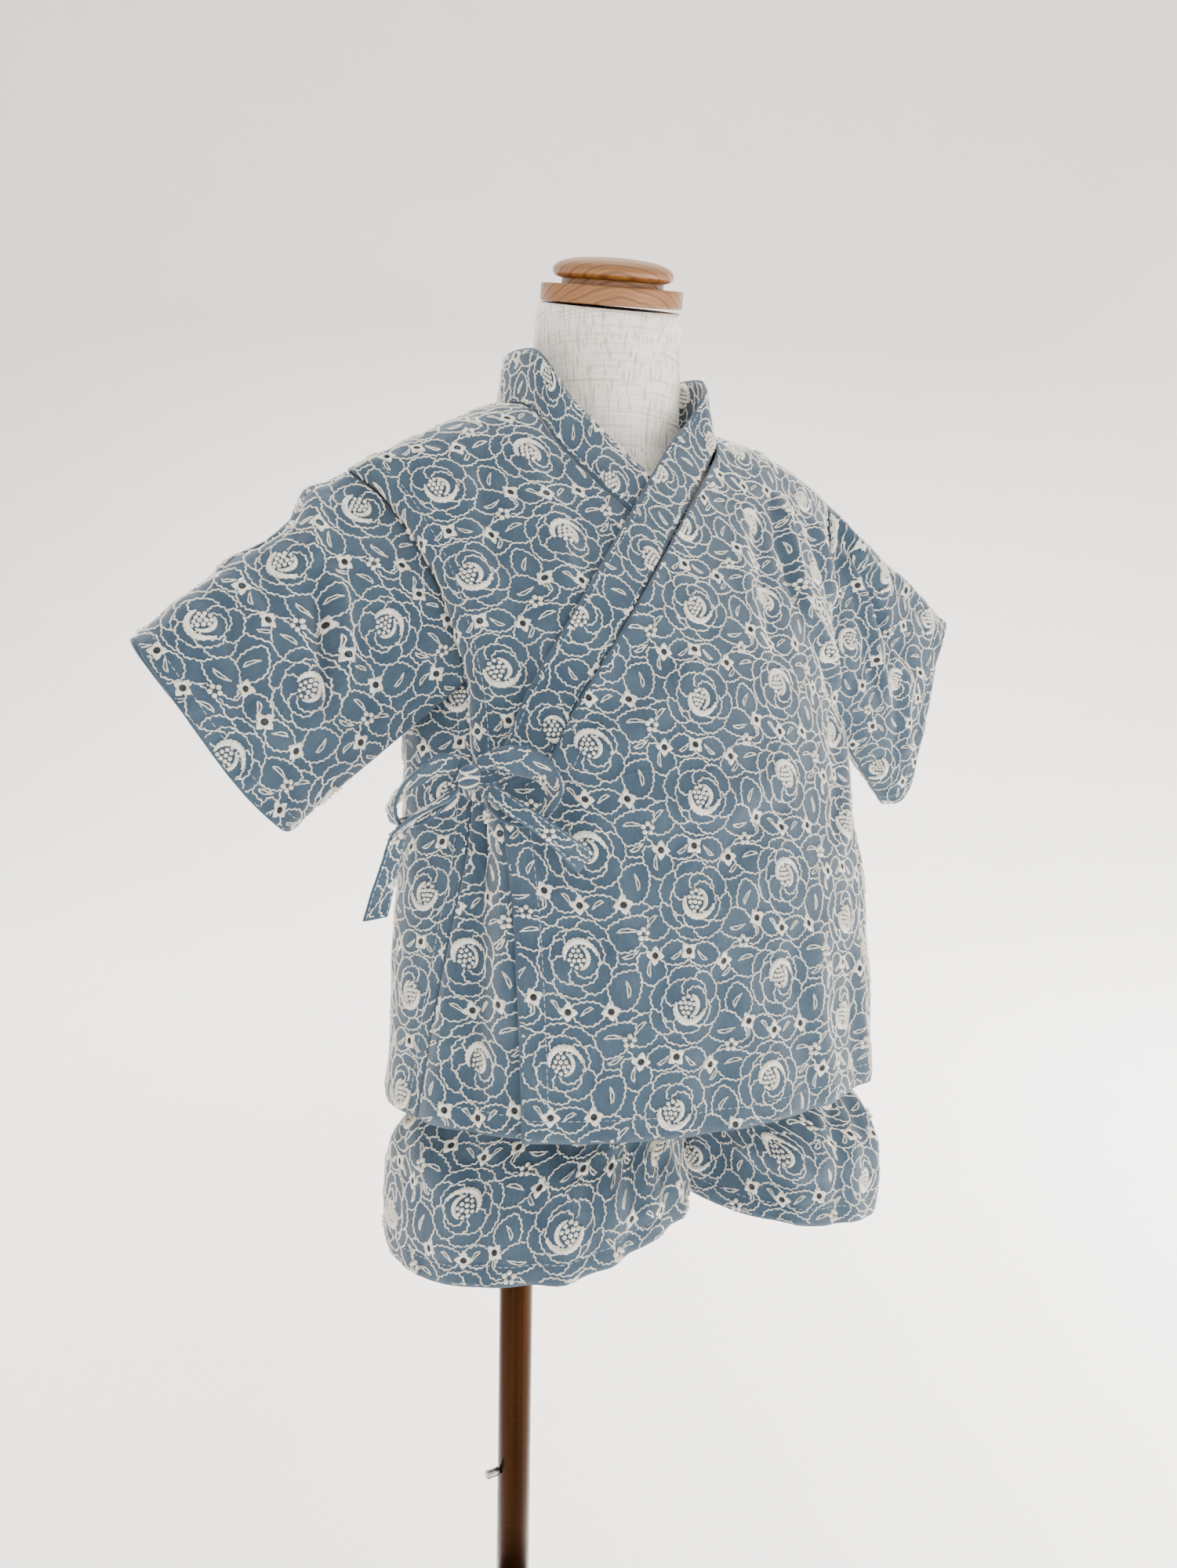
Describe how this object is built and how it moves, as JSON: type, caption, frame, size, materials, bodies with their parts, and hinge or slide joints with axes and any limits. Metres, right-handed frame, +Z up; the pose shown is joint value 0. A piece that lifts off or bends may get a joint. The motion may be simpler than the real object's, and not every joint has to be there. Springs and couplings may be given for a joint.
{
  "type": "jinbei set on dress form",
  "caption": "Toddler's crossed short-sleeved top tied at one side, with matching shorts, worn by a limbless linen dress form with a wooden neck cap on a pole and a round base.",
  "frame": {"origin": "on the floor under the middle of the neck, on the underside of the base plate", "axes": "+Z up; the wearer faces -Y; the wearer's left is +X"},
  "size_m": [0.5077, 0.2532, 0.8506],
  "materials": {
    "front_left": "slate blue cotton with cream embroidery",
    "front_right": "slate blue cotton with cream embroidery",
    "back": "slate blue cotton with cream embroidery",
    "sleeve_right": "slate blue cotton with cream embroidery",
    "sleeve_left": "slate blue cotton with cream embroidery",
    "collar": "slate blue cotton with cream embroidery",
    "bow_knot": "slate blue cotton with cream embroidery",
    "bow_loop_right": "slate blue cotton with cream embroidery",
    "bow_loop_left": "slate blue cotton with cream embroidery",
    "bow_end_left": "slate blue cotton with cream embroidery",
    "tie_front": "slate blue cotton with cream embroidery",
    "tie_side": "slate blue cotton with cream embroidery",
    "bow_end_right": "slate blue cotton with cream embroidery",
    "shorts_right": "slate blue cotton with cream embroidery",
    "shorts_left": "slate blue cotton with cream embroidery",
    "waistband": "slate blue cotton with cream embroidery",
    "dress_form": "natural linen",
    "neck_cap": "lacquered beech",
    "pole": "dark bronze lacquer",
    "pin": "plain steel",
    "base_plate": "dark bronze lacquer"
  },
  "bodies": {
    "root": {"front_left": "front_left", "front_right": "front_right", "back": "back", "sleeve_right": "sleeve_right", "sleeve_left": "sleeve_left", "collar": "collar", "bow_knot": "bow_knot", "bow_loop_right": "bow_loop_right", "bow_loop_left": "bow_loop_left", "bow_end_left": "bow_end_left", "tie_front": "tie_front", "tie_side": "tie_side", "bow_end_right": "bow_end_right", "shorts_right": "shorts_right", "shorts_left": "shorts_left", "waistband": "waistband", "dress_form": "dress_form", "neck_cap": "neck_cap", "pole": "pole", "pin": "pin", "base_plate": "base_plate"}
  },
  "joints": []
}
